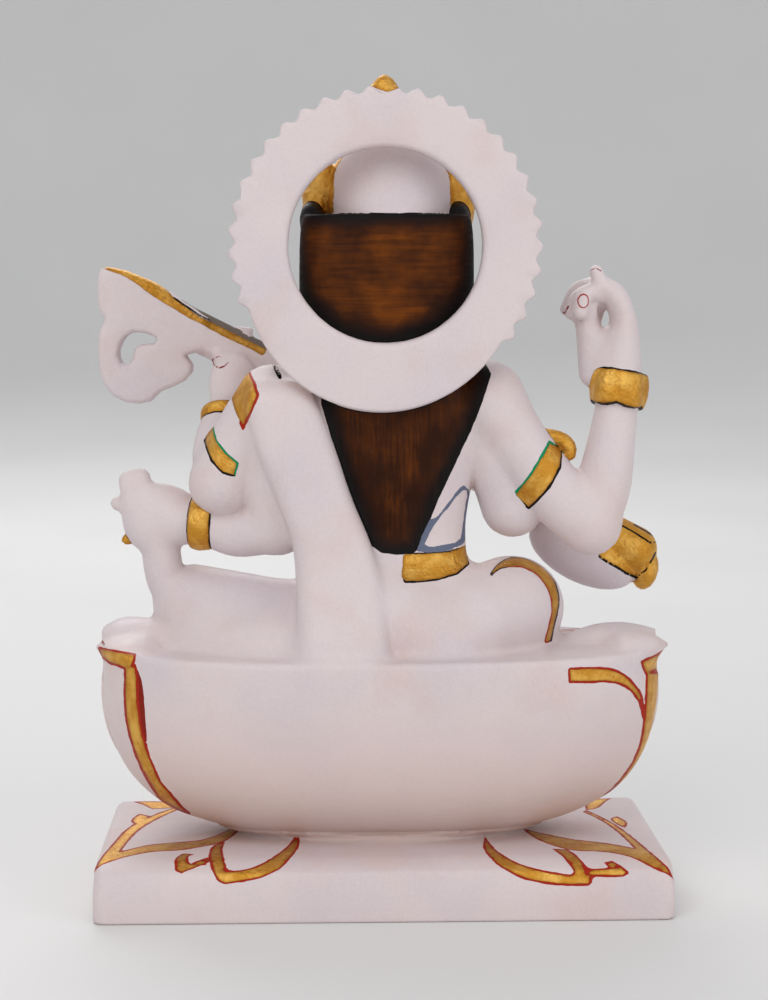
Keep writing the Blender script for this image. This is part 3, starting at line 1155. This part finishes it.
def paint_arms(p):
    red_side = path_distance(p.x, p.z, DIAMOND_RED) < 2.4
    p.add("gold", p.outline(DIAMOND), 8 - p.y, width=np.where(red_side, 0.5, 0.0))
    down_left = 0.5 * (p.x - 66) - 0.86 * (p.h - 81)
    paint_armlet(p, LEFT_UPPER_ARM, LEFT_ARM_GREEN, LEFT_ARM_BLACK, -2, down_left, 3.0, 0.36)
    down_right = -0.84 * (p.x + 55.6) - 0.545 * (p.z - 161.5) - 3.8
    paint_armlet(p, RIGHT_UPPER_ARM, RIGHT_ARM_GREEN, RIGHT_ARM_BLACK, 6, down_right, 3.6, 0.42)
    p.add("gold", p.near(arm_leaf(), 0.35) * 4, colour=BLACK)
    past, _ = lobed_length(p.x, p.y, p.h)
    p.add("gold", past + 0.1, p.gate(RIGHT_WRIST, 1.4), colour=BLACK, width=0.34)
    for wrist in PLAIN_WRISTS:
        band = p.band(wrist.at, wrist.direction, wrist.painted, bangle(wrist))
        p.add("gold", band, colour=BLACK, width=0.3)
    ring = np.hypot((p.x - HAND_RING_AT[0]) / HAND_RING[0], (p.z - HAND_RING_AT[1]) / HAND_RING[1])
    p.add("line", (ring - 1) * 2.1, 4 - p.y, width=0.22)
    p.add("rouge", path_distance(p.x, p.z, HAND_DASH) - 0.32, p.y - 8)
    p.add("rouge", path_distance(p.x, p.z, HAND_NAIL) - 0.2, 4 - p.y)


def paint_armlet(p, arm, green, black, front, down, half_width, line):
    """An armlet edged in green and black: an outline behind the depth front, and an even band before it."""
    colour = p.either(green, black, GREEN, BLACK)
    p.add("gold", p.outline(green + black[::-1]), front - p.y, p.gate(arm, 1.4), colour=colour, width=line)
    colour = np.where((down < 0)[:, None], GREEN, BLACK)
    p.add("gold", np.abs(down) - half_width, p.y - front, p.gate(arm, 0.9), colour=colour, width=line)


def paint_waist_and_legs(p):
    belt = BELT_TOP + BELT_BOTTOM
    edges = np.minimum(p.seen_path(BELT_TOP[1:-1]) + 0.5, p.seen_path(BELT_BOTTOM[:-1]))
    width = np.where(edges < 1.0, 0.34, 0.0)
    p.add("gold", p.seen_outline(belt), 1 - p.y, colour=BLACK, width=width)
    p.add("gold", np.abs(p.h - 31.5) - 4.4, p.y - 1, p.gate(WAIST, 1.6), colour=BLACK, width=0.34)
    mark = np.maximum(p.seen_outline(soften(WAIST_MARK)), -p.seen_outline(soften(WAIST_MARK_INSIDE)))
    p.add("line", np.maximum(mark + 0.3, -0.1), 4 - p.y, colour=SLATE, width=0.42)
    colour = p.either(THIGH_OUTER, THIGH_INNER[:-3], BLACK, RED, p.seen)
    band = p.seen_outline(ribbon(THIGH_OUTER, THIGH_INNER))
    width = np.where(p.x > -51, 0.16, 0.26)
    p.add("gold", band, -1 - p.y, p.y - 20, 0.8 - p.h, p.h - 36, colour=colour, width=width)
    p.add("dark", p.seen_path(THIGH_CREASE) - 0.36, 3 - p.y, p.h - 36)


def paint_face(p):
    front = p.y + 9
    across = p.x - HEAD_X
    for side in (-1, 1):
        x = across * side
        lid = np.hypot((x - 7.6) / 4.6, (p.h - 137.5) / 2.1) - 1
        p.add("line", lid * 2.0, front, colour=BLACK, width=0.28)
        p.add("dark", np.hypot(x - 7.4, p.h - 137.6) - 1.7, lid * 2.0, front)
        p.add("dark", path_distance(x, p.h, BROW) - 0.62, front)
    p.add("rouge", np.hypot(across / 5.4, (p.h - 125.4) / 2.2) * 1.6 - 1.6, front, p.y + 17)
    p.add("rouge", np.hypot(across, p.h - 147.6) - 1.3, front)


def paint_necklaces(p):
    """Two necklaces with a pendant, and a band under the breasts."""
    across = p.x - HEAD_X
    chest = (p.y, -25.2 - p.y)
    p.add("gold", np.abs(np.hypot(across, (p.h - 101) * 1.05) - 16) - 1.5, p.h - 99, *chest, width=0.25)
    p.add("gold", np.abs(np.hypot(across * 1.15, p.h - 98) - 27) - 1.1, p.h - 96, *chest, width=0.25)
    p.add("gold", np.hypot(across, p.h - 71) - 3.4, *chest, width=0.25)
    p.add("gold", np.abs(p.h - 62) - 1.5, p.y - 2, p.gate(CHEST, 2.5), width=0.3)


def paint_veena_and_book(p):
    behind = p.y + 25.4
    p.add("gold", p.seen_outline(VEENA_GOLD), behind, -36 - p.y, width=0.0)
    board = p.gate(BOARD, 0.5)
    p.add("dark", board, p.y + 34)
    p.add("line", np.maximum(board, -0.1), -34 - p.y, p.y + 25, 40 - p.x, colour=WOOD_GREY, width=0.42)
    p.add("dark", p.seen_path(VEENA_EDGE) - 0.34, behind, -36 - p.y)
    front = (p.y - VEENA_Y - 2) * 12
    p.add("gold", p.gate(DRUM_BODY, 0.5), front, -0.5 * (p.h - 30) - p.x - 86, colour=BLACK, width=0.3)
    p.add("gold", p.gate(DRUM_KNOB, 0.5), front, width=0.0)
    end_side = np.maximum(np.maximum(p.x + 80, 24 - p.z), p.y + 20)
    p.add("gold", p.seen_outline(DRUM), end_side, width=0.0)
    for half_width, line in DRUM_LINES:
        p.add("dark", p.seen_path(line) - half_width, end_side, -32 - p.y)
    for nail in FINGER_NAILS:
        p.add("rouge", p.seen_path(nail) - 0.3, -34 - p.y, p.y + 8)
    p.add("dark", p.gate(SLOT, 0.05))
    for x in PEG_PLACES:
        p.add("gold", p.near(peg_head(x), 0.3) * 4, width=0.0)
    for x in NECK_BANDS:
        at = (x, VEENA_Y, neck_height(x))
        p.add("gold", p.band(at, (1, 0, VEENA_SLOPE), 4.5, ball(at, (9, 9, 9)), 0.9))
    book = p.gate(BOOK, 0.4)
    p.add("rouge", book)
    p.add("gold", book, 6.4 - np.abs(p.h - 45), width=0.0)
    p.add("gold", p.near(BEAD, 0.4) * 4, colour=BLACK, width=0.4)


def paint_seat(p):
    on_bowl = 23 - p.z
    for band, back in ((LEFT_BAND, 6), (RIGHT_BAND, 8), (RIGHT_TOP_BAND, 6)):
        p.add("gold", p.seen_outline(band), on_bowl, back - p.y, p.z - 92, width=0.45)
    p.add("rouge", p.seen_outline(LEFT_STRIP), 6 - p.y, on_bowl)
    for tip in (LEFT_TIP_BAND, RIGHT_TIP_BAND):
        p.add("gold", p.seen_outline(tip), 4 - p.y, width=0.45)
    p.add("rouge", p.seen_path(LEFT_LOBE_EDGE) - 0.4, 1 - p.y)
    front = p.y + 10
    front_edges = [petal_edge(p.x, p.y, p.z, centre, FRONT_HALF_ANGLE) for centre in FRONT_PETALS]
    for edge in front_edges:
        p.add("gold", np.abs(edge - 2.2) - 1.3, front, on_bowl + 2, p.z - 93.5)
    for centre in REAR_PETALS:
        edge = petal_edge(p.x, p.y, p.z, centre, REAR_HALF_ANGLE, REAR_TOP)
        cover = [nearer + 0.8 for nearer in front_edges]
        p.add("gold", np.abs(edge - 1.6) - 0.9, front, 60 - p.z, *cover)
    unrolled = np.where(p.y > 0, p.y + PLINTH[2] - p.z, p.y - PLINTH[2] + p.z)
    top = np.maximum(p.z - PLINTH[2] - 1.2, np.abs(p.x) - PLINTH[0] / 2 + 0.6)
    for leaf in LEAVES_LEFT + LEAVES_RIGHT:
        p.add("gold", p.leaf(unrolled, leaf), top, width=0.46)
    for leaf in (BUD_LEFT, BUD_RIGHT):
        p.add("gold", p.leaf(-unrolled, leaf), top, p.y, width=0.46)


def places(points):
    return np.stack(list(paint(points).place.values()), 1)


def in_full_view(points):
    """The back, the ends of the veena and the face get the finest triangles."""
    x, y, z = points.T
    veena_ends = (np.abs(x) > 52) & (y > -36) & (z > 112)
    face = (np.abs(x - HEAD_X) < 16) & (y < -16) & (z > 212) & (z < 246)
    return (y > -14) | veena_ends | face


def fine_mesh(field):
    """The thinned mesh, with smaller triangles where paint has an edge."""
    points, faces = first_mesh(field)
    at = places(points)

    def wanted(lengths, edges):
        a, b = at[edges[:, 0]], at[edges[:, 1]]
        crossed = ((a < 0) != (b < 0)).any(1)
        close = np.minimum(np.abs(a), np.abs(b)).min(1) < lengths * 0.35
        finest = np.where(in_full_view(points[edges[:, 0]]), FINEST_EDGE, FINEST_OUT_OF_VIEW)
        return (lengths > LONGEST_EDGE) | ((lengths > finest) & (crossed | close))

    for _ in range(SPLIT_ROUNDS):
        points, faces = split(field, points, faces, wanted)
        at = np.vstack([at, places(points[len(at):])])
    return points, faces


def hollow(field, points, normals):
    """How much of the space close over each point is filled: 0 on open ground, 1 deep in a crease."""
    filled = 0
    for reach in (1.6, 3.2, 5.0):
        free = sample(field, points + normals * reach) / reach
        filled = filled + np.clip(1 - free, 0, 1) / 3
    return filled


def attribute(mesh, name, kind, values):
    layer = mesh.attributes.new(name, kind, "POINT")
    key = "value" if kind == "FLOAT" else "color"
    layer.data.foreach_set(key, np.ascontiguousarray(values, np.float32).ravel())


def make_statue():
    field = build_clay()
    points, faces = fine_mesh(field)
    normals, _ = slope(field, points)
    p = paint(points)
    mesh = mesh_of("painted_statue", points / 1000, faces)
    for name, place in p.place.items():
        attribute(mesh, name, "FLOAT", place)
    for name, trim in p.trim.items():
        attribute(mesh, name + "_trim", "FLOAT_COLOR", trim)
    attribute(mesh, "hollow", "FLOAT", hollow(field, points, normals))
    mesh.polygons.foreach_set("use_smooth", np.ones(len(faces), bool))
    mesh.normals_split_custom_set_from_vertices(normals)
    piece = bpy.data.objects.new("painted_statue", mesh)
    bpy.context.scene.collection.objects.link(piece)
    return piece


# Materials.

class Graph:
    """Writes a material's nodes."""

    def __init__(self, name):
        self.material = bpy.data.materials.new(name)
        self.material.use_nodes = True
        self.nodes = self.material.node_tree.nodes
        self.links = self.material.node_tree.links
        self.nodes.clear()
        self.shader = self.node("ShaderNodeBsdfPrincipled")
        out = self.node("ShaderNodeOutputMaterial")
        self.links.new(self.shader.outputs[0], out.inputs["Surface"])

    def node(self, kind, **settings):
        made = self.nodes.new(kind)
        for name, value in settings.items():
            setattr(made, name, value)
        return made

    def feed(self, socket, value):
        if isinstance(value, bpy.types.NodeSocket):
            self.links.new(value, socket)
        elif isinstance(value, tuple) and len(value) == 3 and socket.type == "RGBA":
            socket.default_value = (*value, 1.0)
        else:
            socket.default_value = value

    def math(self, operation, *values):
        made = self.node("ShaderNodeMath", operation=operation)
        for socket, value in zip(made.inputs, values):
            self.feed(socket, value)
        return made.outputs[0]

    def plus(self, a, b):
        return self.math("ADD", a, b)

    def minus(self, a, b):
        return self.math("SUBTRACT", a, b)

    def times(self, a, b):
        return self.math("MULTIPLY", a, b)

    def swing(self, value, size):
        """A value round a half as a number that swings round nought."""
        return self.times(self.minus(value, 0.5), size)

    def between(self, kind, word, share, a, b):
        made = self.node("ShaderNodeMix", data_type=kind)
        for name, value in (("Factor_Float", share), ("A_" + word, a), ("B_" + word, b)):
            self.feed(next(s for s in made.inputs if s.identifier == name), value)
        return next(s for s in made.outputs if s.identifier == "Result_" + word)

    def mix(self, share, a, b):
        """A colour between two others."""
        return self.between("RGBA", "Color", share, a, b)

    def blend(self, share, a, b):
        """A number between two others."""
        return self.between("FLOAT", "Float", share, a, b)

    def step(self, value, start, end, low=0.0, high=1.0):
        """A number that goes smoothly from low to high as a value goes from start to end."""
        made = self.node("ShaderNodeMapRange", interpolation_type="SMOOTHSTEP")
        numbers = {"Value": value, "From Min": start, "From Max": end, "To Min": low, "To Max": high}
        for name, number in numbers.items():
            self.feed(made.inputs[name], number)
        return made.outputs[0]

    def place(self, stretch=(1, 1, 1)):
        """Millimetres across the object, stretched."""
        where = self.node("ShaderNodeTexCoord").outputs["Object"]
        made = self.node("ShaderNodeVectorMath", operation="MULTIPLY")
        self.feed(made.inputs[0], where)
        made.inputs[1].default_value = tuple(1000 * s for s in stretch)
        return made.outputs[0]

    def height(self):
        """Height above the ground in millimetres."""
        made = self.node("ShaderNodeSeparateXYZ")
        self.feed(made.inputs[0], self.place())
        return made.outputs["Z"]

    def noise(self, size, detail=2.0, roughness=0.5, at=None):
        """Noise whose features are about size millimetres."""
        made = self.node("ShaderNodeTexNoise")
        self.feed(made.inputs["Vector"], at or self.place())
        made.inputs["Scale"].default_value = 1 / size
        made.inputs["Detail"].default_value = detail
        made.inputs["Roughness"].default_value = roughness
        return made.outputs["Factor" if "Factor" in made.outputs else "Fac"]

    def read(self, name, output="Fac"):
        made = self.node("ShaderNodeAttribute", attribute_name=name)
        return made.outputs[output]

    def bump(self, height):
        """Bumps whose height is given in millimetres."""
        made = self.node("ShaderNodeBump")
        made.inputs["Distance"].default_value = 0.001
        self.feed(made.inputs["Height"], height)
        return made.outputs[0]


# The colours of the stone, the gold leaf and the hair, as linear light.
MARBLE, MARBLE_WARM, MARBLE_COOL = (0.70, 0.605, 0.61), (0.66, 0.52, 0.48), (0.65, 0.57, 0.60)
MARBLE_FOOT, CREASE = (0.71, 0.54, 0.475), (0.50, 0.31, 0.23)
GOLD, GOLD_LIGHT, GOLD_DARK = (0.60, 0.28, 0.034), (0.80, 0.46, 0.10), (0.34, 0.13, 0.012)
HAIR, HAIR_WARM, HAIR_EDGE = (0.026, 0.0055, 0.0005), (0.38, 0.095, 0.002), (0.006, 0.004, 0.004)


def marble_colour(g, crease):
    """Clouded white stone with a warmer foot and darker creases."""
    cloud = g.step(g.noise(46, 3), 0.4, 0.66)
    colour = g.mix(cloud, MARBLE, MARBLE_COOL)
    warm = g.step(g.noise(30, 3), 0.48, 0.72)
    colour = g.mix(g.times(warm, 0.6), colour, MARBLE_WARM)
    grain = g.step(g.noise(1.1, 3, 0.7), 0.3, 0.7)
    colour = g.mix(g.times(grain, 0.12), colour, (0.9, 0.86, 0.85))
    speck = g.step(g.noise(3.4, 2, 0.6), 0.62, 0.78)
    colour = g.mix(g.times(speck, 0.05), colour, (0.42, 0.36, 0.36))
    height = g.height()
    low = g.plus(height, g.swing(warm, 20.0))
    above_plinth = g.step(height, 21.0, 25.0, 0.12, 1.0)
    foot = g.times(g.step(low, 82.0, 26.0, 0.0, 0.6), above_plinth)
    colour = g.mix(foot, colour, MARBLE_FOOT)
    deep = g.step(crease, 0.2, 0.9)
    return g.mix(g.times(deep, 0.28), colour, CREASE)


def gold_colour(g, gold):
    leaf = g.noise(1.7, 4, 0.6)
    patch = g.noise(6, 3)
    colour = g.mix(g.step(patch, 0.36, 0.74), GOLD, GOLD_LIGHT)
    colour = g.mix(g.step(gold, -1.5, -0.2, 0.0, 0.6), colour, GOLD_DARK)
    colour = g.mix(g.step(leaf, 0.40, 0.24, 0.0, 0.7), colour, GOLD_DARK)
    return colour, leaf


def hair_colour(g, hair):
    """Streaks run up and down the panel, and round the head."""
    up = g.noise(1.0, 3, 0.5, g.place((0.9, 0.4, 0.07)))
    round_head = g.noise(1.0, 3, 0.5, g.place((0.06, 0.12, 0.75)))
    on_head = g.step(g.height(), 196.0, 204.0)
    streak = g.blend(on_head, up, round_head)
    glow = g.step(hair, -2.0, -19.0, 0.0, 0.66)
    glow = g.plus(g.times(glow, g.blend(on_head, 0.12, 1.0)), 0.04)
    warm = g.plus(glow, g.swing(streak, 0.3))
    warm = g.plus(warm, g.swing(g.noise(12, 3), 0.45))
    colour = g.mix(g.step(warm, 0.0, 0.7), HAIR, HAIR_WARM)
    ragged = g.plus(hair, g.swing(streak, 6.0))
    edge = g.step(ragged, -7.5, -1.2)
    return g.mix(edge, colour, HAIR_EDGE), streak


def paint_material():
    g = Graph("painted_marble")
    wobble = g.swing(g.noise(2.6, 3), 0.5)
    place = {name: g.plus(g.read(name), wobble) for name in PAINTS}
    inside = {name: g.step(at, 0.10, -0.10) for name, at in place.items()}
    colour = marble_colour(g, g.read("hollow"))
    hair, streak = hair_colour(g, place["hair"])
    colour = g.mix(inside["hair"], colour, hair)
    gold, leaf = gold_colour(g, place["gold"])
    colour = g.mix(inside["gold"], colour, gold)
    colour = g.mix(inside["rouge"], colour, DEEP_RED)
    colour = g.mix(inside["dark"], colour, BLACK)
    lines = 0.0
    for name in TRIMMED:
        trim = name + "_trim"
        width = g.times(g.read(trim, "Alpha"), g.step(g.noise(5, 2), 0.25, 0.75, 0.7, 1.3))
        off = g.minus(g.math("ABSOLUTE", place[name]), width)
        drawn = g.times(g.step(off, 0.08, -0.08), g.step(width, 0.02, 0.08))
        colour = g.mix(drawn, colour, g.read(trim, "Color"))
        lines = g.math("MAXIMUM", lines, drawn)
    bare_gold = g.times(inside["gold"], g.minus(1.0, lines))
    g.feed(g.shader.inputs["Base Color"], colour)
    g.feed(g.shader.inputs["Metallic"], g.times(bare_gold, 0.72))
    stone_gloss = g.step(g.noise(5, 3), 0.3, 0.7, 0.34, 0.46)
    paint_gloss = g.step(streak, 0.3, 0.7, 0.50, 0.66)
    gloss = g.blend(inside["hair"], stone_gloss, paint_gloss)
    gloss = g.blend(bare_gold, gloss, g.step(leaf, 0.3, 0.7, 0.46, 0.30))
    g.feed(g.shader.inputs["Roughness"], gloss)
    stone = g.plus(g.noise(1.4, 3, 0.6), g.times(g.noise(7, 2), 1.5))
    stone = g.times(stone, 0.085)
    brush = g.times(streak, 0.14)
    height = g.blend(inside["hair"], stone, brush)
    height = g.blend(bare_gold, height, g.times(leaf, 0.75))
    g.feed(g.shader.inputs["Normal"], g.bump(height))
    g.shader.inputs["Specular IOR Level"].default_value = 0.12
    return g.material


# The scene.

# The floor's radius and height in metres, from its middle to its rim.
FLOOR_PROFILE = [
    (0.1, 0.0), (0.8, 0.0), (1.5, 0.0), (2.1, 0.04), (2.7, 0.2), (3.1, 0.5), (3.32, 0.9), (3.4, 1.3)]


def make_floor():
    """A pale floor that curves up far from the statue on every side."""
    rows = through(FLOOR_PROFILE, 5)
    turns = 64
    angles = [2 * math.pi * i / turns for i in range(turns)]
    points = [(r * math.cos(a), r * math.sin(a), z) for r, z in rows for a in angles]
    faces = [tuple(range(turns))]
    for ring in range(len(rows) - 1):
        for i in range(turns):
            j = (i + 1) % turns
            faces.append(tuple(ring * turns + k for k in (i, i + turns, j + turns, j)))
    mesh = bpy.data.meshes.new("floor")
    mesh.from_pydata(points, [], faces)
    mesh.polygons.foreach_set("use_smooth", np.ones(len(faces), bool))
    floor = bpy.data.objects.new("floor", mesh)
    bpy.context.scene.collection.objects.link(floor)
    g = Graph("floor")
    cloud = g.noise(240, 3)
    g.feed(g.shader.inputs["Base Color"], g.mix(cloud, (0.74, 0.735, 0.73), (0.79, 0.785, 0.78)))
    g.feed(g.shader.inputs["Roughness"], g.step(cloud, 0.3, 0.7, 0.6, 0.75))
    mesh.materials.append(g.material)


def make_light(name, at, target, size, power, colour):
    data = bpy.data.lights.new(name, "AREA")
    data.shape = "RECTANGLE"
    data.size, data.size_y = size
    data.energy = power
    data.color = colour
    light = bpy.data.objects.new(name, data)
    light.location = at
    light.rotation_euler = (Vector(target) - Vector(at)).to_track_quat("-Z", "Y").to_euler()
    bpy.context.scene.collection.objects.link(light)


def make_lights():
    middle = (0, 0, 0.15)
    make_light("key", (0.6, 1.2, 1.1), middle, (1.0, 1.0), 8, (1.0, 0.985, 0.97))
    make_light("fill", (-1.1, 1.0, 0.5), middle, (1.0, 1.2), 5, (0.98, 0.98, 1.0))
    make_light("front", (0.3, -1.4, 1.3), middle, (1.2, 1.2), 11, (1.0, 0.99, 0.98))
    world = bpy.data.worlds.new("studio")
    world.use_nodes = True
    background = world.node_tree.nodes["Background"]
    background.inputs["Color"].default_value = (0.93, 0.94, 0.96, 1)
    background.inputs["Strength"].default_value = 0.66
    bpy.context.scene.world = world


def make_camera():
    """The camera of the photo, which stands behind the figure."""
    data = bpy.data.cameras.new("camera")
    data.sensor_width = 36
    data.lens = CAMERA_LENS
    data.clip_start = 0.01
    camera = bpy.data.objects.new("camera", data)
    camera.location = Vector(CAMERA_AT) / 1000
    yaw, pitch = math.radians(CAMERA_YAW), math.radians(CAMERA_PITCH)
    towards = Vector((-math.sin(yaw) * math.cos(pitch), -math.cos(yaw) * math.cos(pitch), -math.sin(pitch)))
    camera.rotation_euler = towards.to_track_quat("-Z", "Y").to_euler()
    bpy.context.scene.collection.objects.link(camera)
    bpy.context.scene.camera = camera


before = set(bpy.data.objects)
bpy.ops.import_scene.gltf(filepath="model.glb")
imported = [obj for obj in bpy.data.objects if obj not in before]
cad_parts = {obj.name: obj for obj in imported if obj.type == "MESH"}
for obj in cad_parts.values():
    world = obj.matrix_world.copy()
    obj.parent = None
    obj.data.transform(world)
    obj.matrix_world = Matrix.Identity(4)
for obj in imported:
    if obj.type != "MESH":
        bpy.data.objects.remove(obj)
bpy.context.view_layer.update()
statue = make_statue()
statue.data.materials.append(paint_material())
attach(statue, "root")
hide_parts("saraswati_statue")
make_floor()
make_lights()
make_camera()
bpy.context.scene.view_settings.view_transform = "Standard"
